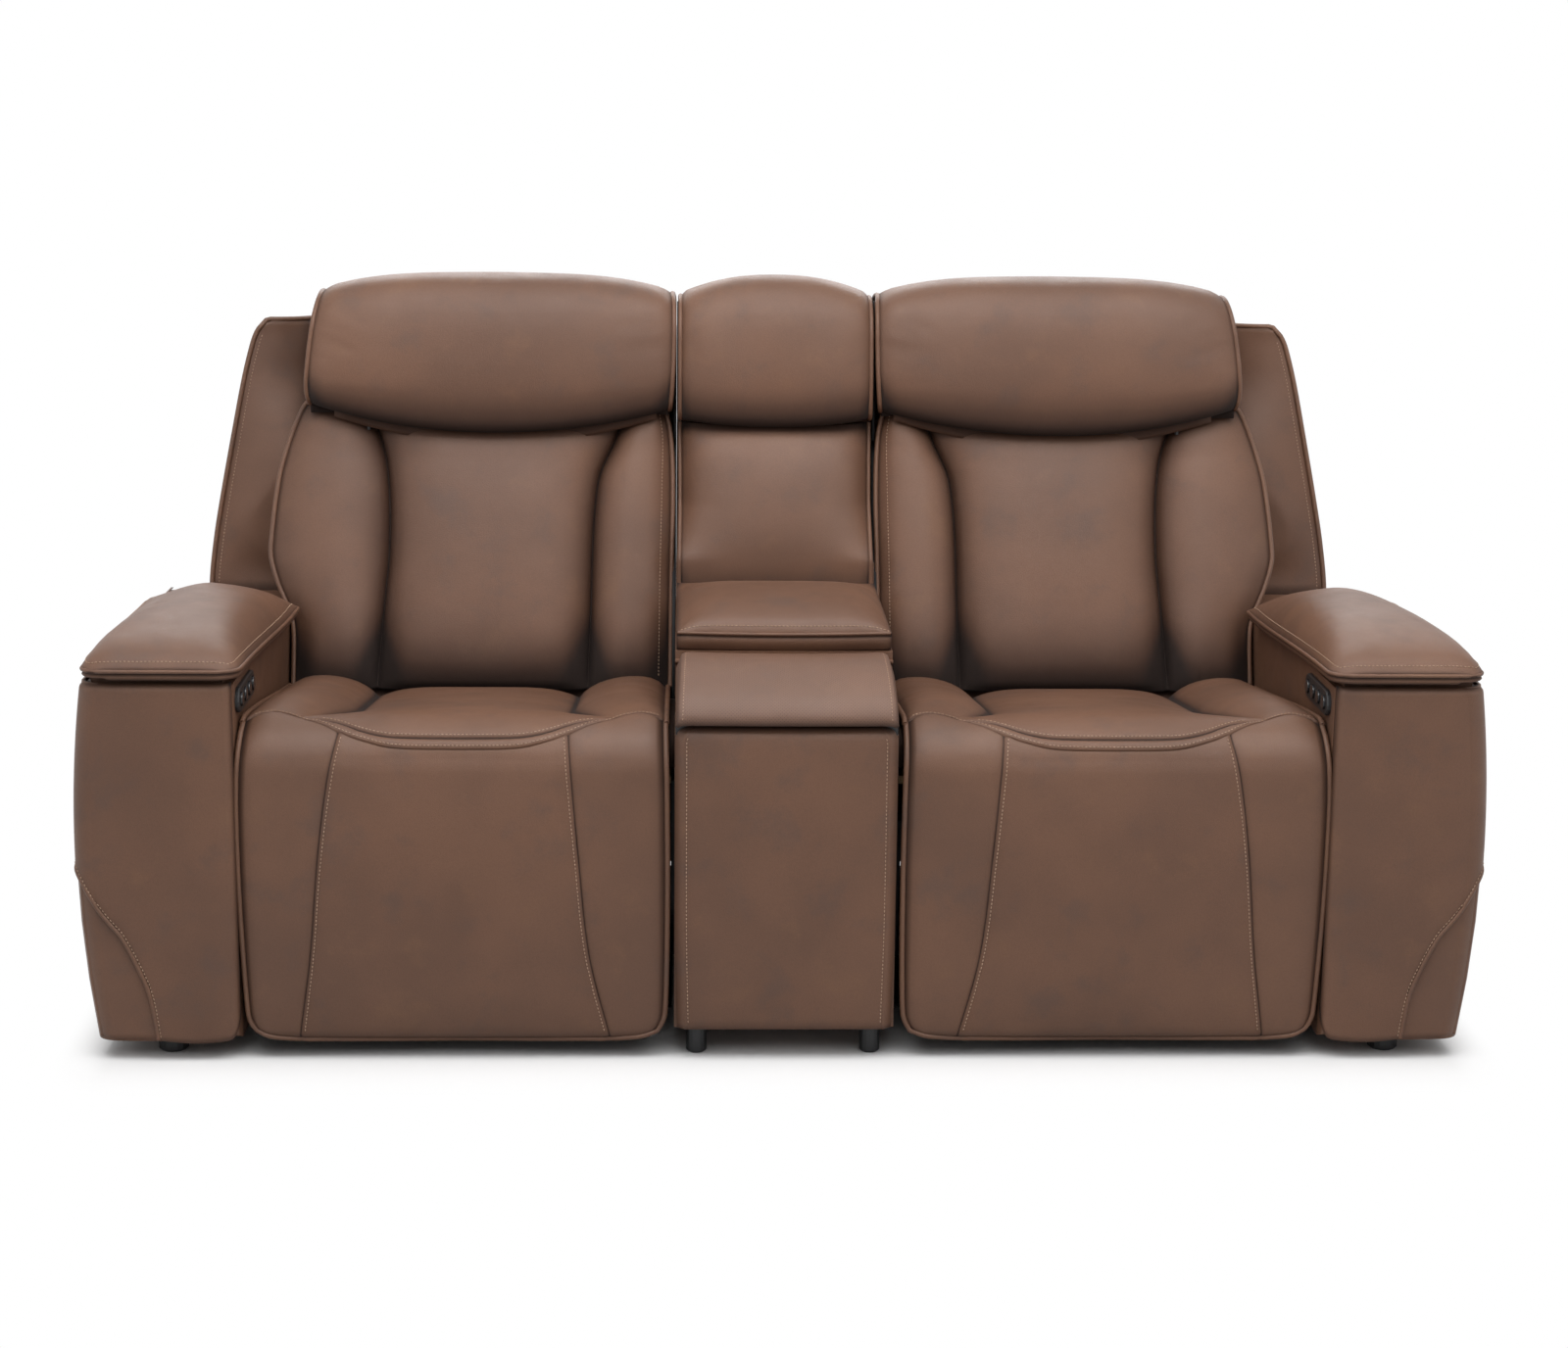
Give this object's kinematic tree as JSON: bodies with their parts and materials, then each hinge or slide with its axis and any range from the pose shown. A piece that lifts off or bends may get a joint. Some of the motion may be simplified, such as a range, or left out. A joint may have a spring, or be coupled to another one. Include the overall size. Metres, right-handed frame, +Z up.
{
  "type": "power reclining loveseat with console",
  "caption": "Power reclining loveseat: two seats with footrests, tilting headrests, storage arms with lids, and a console with cup holders under a flap.",
  "frame": {"origin": "on the floor, at the middle of the outline seen from above", "axes": "+X to the right seen from the front, -Y is the front, +Z up"},
  "size_m": [2.041, 1.04, 1.09],
  "materials": {
    "leather": "mottled brown leather, satin",
    "button_plastic": "glossy black",
    "black_plastic": "moulded black",
    "cup_steel": "brushed stainless",
    "mechanism_steel": "black painted steel",
    "plywood": "bare plywood"
  },
  "bodies": {
    "root": {"console_box": "leather", "console_front_panel": "leather", "cup_tray": "black_plastic", "left_cup_holder": "cup_steel", "right_cup_holder": "cup_steel", "console_back_frame": "leather", "console_back_cushion": "leather", "console_pillow": "leather", "rear_rail": "leather", "left_console_foot": "black_plastic", "right_console_foot": "black_plastic", "left_arm_box": "leather", "left_control_plate": "button_plastic", "left_seat_deck": "plywood", "left_seat_cushion": "leather", "left_outer_side_plate": "mechanism_steel", "left_inner_side_plate": "mechanism_steel", "left_actuator": "mechanism_steel", "left_front_foot": "black_plastic", "left_rear_foot": "black_plastic", "right_arm_box": "leather", "right_control_plate": "button_plastic", "right_seat_deck": "plywood", "right_seat_cushion": "leather", "right_outer_side_plate": "mechanism_steel", "right_inner_side_plate": "mechanism_steel", "right_actuator": "mechanism_steel", "right_front_foot": "black_plastic", "right_rear_foot": "black_plastic"},
    "left_arm_lid": {"left_arm_lid": "leather"},
    "left_button_1": {"left_button_1": "button_plastic"},
    "left_button_2": {"left_button_2": "button_plastic"},
    "left_button_3": {"left_button_3": "button_plastic"},
    "left_button_4": {"left_button_4": "button_plastic"},
    "left_back": {"left_back_frame": "leather", "left_back_cushion": "leather"},
    "left_headrest": {"left_headrest_frame": "mechanism_steel", "left_headrest_pad": "leather"},
    "left_footrest": {"left_footrest_board": "plywood", "left_footrest_pad": "leather"},
    "left_crank": {"left_crank_frame": "mechanism_steel"},
    "left_link": {"left_link_frame": "mechanism_steel"},
    "left_carriage": {"left_carriage": "mechanism_steel"},
    "right_arm_lid": {"right_arm_lid": "leather"},
    "right_button_1": {"right_button_1": "button_plastic"},
    "right_button_2": {"right_button_2": "button_plastic"},
    "right_button_3": {"right_button_3": "button_plastic"},
    "right_button_4": {"right_button_4": "button_plastic"},
    "right_back": {"right_back_frame": "leather", "right_back_cushion": "leather"},
    "right_headrest": {"right_headrest_frame": "mechanism_steel", "right_headrest_pad": "leather"},
    "right_footrest": {"right_footrest_board": "plywood", "right_footrest_pad": "leather"},
    "right_crank": {"right_crank_frame": "mechanism_steel"},
    "right_link": {"right_link_frame": "mechanism_steel"},
    "right_carriage": {"right_carriage": "mechanism_steel"},
    "console_lid": {"console_lid": "leather"},
    "console_flap": {"console_flap": "leather"}
  },
  "joints": [
    {"name": "left_arm_lid_hinge", "type": "hinge", "parent": "root", "child": "left_arm_lid", "pos_m": [-0.992, -0.23, 0.5715], "axis": [0, -1, 0], "range_deg": [0, 80]},
    {"name": "left_button_1_press", "type": "slide", "parent": "root", "child": "left_button_1", "axis": [-1, 0, 0], "range_m": [0, 0.0015], "stiffness_N_per_m": 400},
    {"name": "left_button_2_press", "type": "slide", "parent": "root", "child": "left_button_2", "axis": [-1, 0, 0], "range_m": [0, 0.0015], "stiffness_N_per_m": 400},
    {"name": "left_button_3_press", "type": "slide", "parent": "root", "child": "left_button_3", "axis": [-1, 0, 0], "range_m": [0, 0.0015], "stiffness_N_per_m": 400},
    {"name": "left_button_4_press", "type": "slide", "parent": "root", "child": "left_button_4", "axis": [-1, 0, 0], "range_m": [0, 0.0015], "stiffness_N_per_m": 400},
    {"name": "left_recline", "type": "hinge", "parent": "root", "child": "left_back", "pos_m": [-0.4755, 0.15, 0.375], "axis": [-1, 0, 0], "range_deg": [0, 27]},
    {"name": "left_headrest_tilt", "type": "hinge", "parent": "left_back", "child": "left_headrest", "pos_m": [-0.4755, 0.19, 0.848], "axis": [1, 0, 0], "range_deg": [0, 35]},
    {"name": "left_footrest_swing", "type": "hinge", "parent": "root", "child": "left_footrest", "pos_m": [-0.4755, -0.485, 0.485], "axis": [-1, 0, 0], "range_deg": [0, 88]},
    {"name": "left_crank_turn", "type": "hinge", "parent": "root", "child": "left_crank", "pos_m": [-0.4755, -0.335, 0.315], "axis": [-1, 0, 0], "range_deg": [0, 88]},
    {"name": "left_link_turn", "type": "hinge", "parent": "left_crank", "child": "left_link", "pos_m": [-0.4755, -0.275, 0.1], "axis": [1, 0, 0], "range_deg": [0, 88]},
    {"name": "left_carriage_slide", "type": "slide", "parent": "root", "child": "left_carriage", "axis": [0, -1, 0], "range_m": [0, 0.1042]},
    {"name": "right_arm_lid_hinge", "type": "hinge", "parent": "root", "child": "right_arm_lid", "pos_m": [0.992, -0.23, 0.5715], "axis": [0, 1, 0], "range_deg": [0, 80]},
    {"name": "right_button_1_press", "type": "slide", "parent": "root", "child": "right_button_1", "axis": [1, 0, 0], "range_m": [0, 0.0015], "stiffness_N_per_m": 400},
    {"name": "right_button_2_press", "type": "slide", "parent": "root", "child": "right_button_2", "axis": [1, 0, 0], "range_m": [0, 0.0015], "stiffness_N_per_m": 400},
    {"name": "right_button_3_press", "type": "slide", "parent": "root", "child": "right_button_3", "axis": [1, 0, 0], "range_m": [0, 0.0015], "stiffness_N_per_m": 400},
    {"name": "right_button_4_press", "type": "slide", "parent": "root", "child": "right_button_4", "axis": [1, 0, 0], "range_m": [0, 0.0015], "stiffness_N_per_m": 400},
    {"name": "right_recline", "type": "hinge", "parent": "root", "child": "right_back", "pos_m": [0.4755, 0.15, 0.375], "axis": [-1, 0, 0], "range_deg": [0, 27]},
    {"name": "right_headrest_tilt", "type": "hinge", "parent": "right_back", "child": "right_headrest", "pos_m": [0.4755, 0.19, 0.848], "axis": [1, 0, 0], "range_deg": [0, 35]},
    {"name": "right_footrest_swing", "type": "hinge", "parent": "root", "child": "right_footrest", "pos_m": [0.4755, -0.485, 0.485], "axis": [-1, 0, 0], "range_deg": [0, 88]},
    {"name": "right_crank_turn", "type": "hinge", "parent": "root", "child": "right_crank", "pos_m": [0.4755, -0.335, 0.315], "axis": [-1, 0, 0], "range_deg": [0, 88]},
    {"name": "right_link_turn", "type": "hinge", "parent": "right_crank", "child": "right_link", "pos_m": [0.4755, -0.275, 0.1], "axis": [1, 0, 0], "range_deg": [0, 88]},
    {"name": "right_carriage_slide", "type": "slide", "parent": "root", "child": "right_carriage", "axis": [0, -1, 0], "range_m": [0, 0.1042]},
    {"name": "console_lid_hinge", "type": "hinge", "parent": "root", "child": "console_lid", "pos_m": [0, 0.068, 0.6085], "axis": [-1, 0, 0], "range_deg": [0, 85]},
    {"name": "console_flap_hinge", "type": "hinge", "parent": "root", "child": "console_flap", "pos_m": [0, -0.358, 0.5747], "axis": [-1, 0, 0], "range_deg": [0, 95]}
  ],
  "couplings": [
    {"joint": "left_footrest_swing", "follows": "left_recline", "ratio": 3.2593},
    {"joint": "left_crank_turn", "follows": "left_recline", "ratio": 3.2593},
    {"joint": "left_link_turn", "follows": "left_recline", "ratio": 3.2593},
    {"joint": "left_carriage_slide", "follows": "left_recline", "m_per_rad": 0.22112},
    {"joint": "right_footrest_swing", "follows": "right_recline", "ratio": 3.2593},
    {"joint": "right_crank_turn", "follows": "right_recline", "ratio": 3.2593},
    {"joint": "right_link_turn", "follows": "right_recline", "ratio": 3.2593},
    {"joint": "right_carriage_slide", "follows": "right_recline", "m_per_rad": 0.22112}
  ]
}
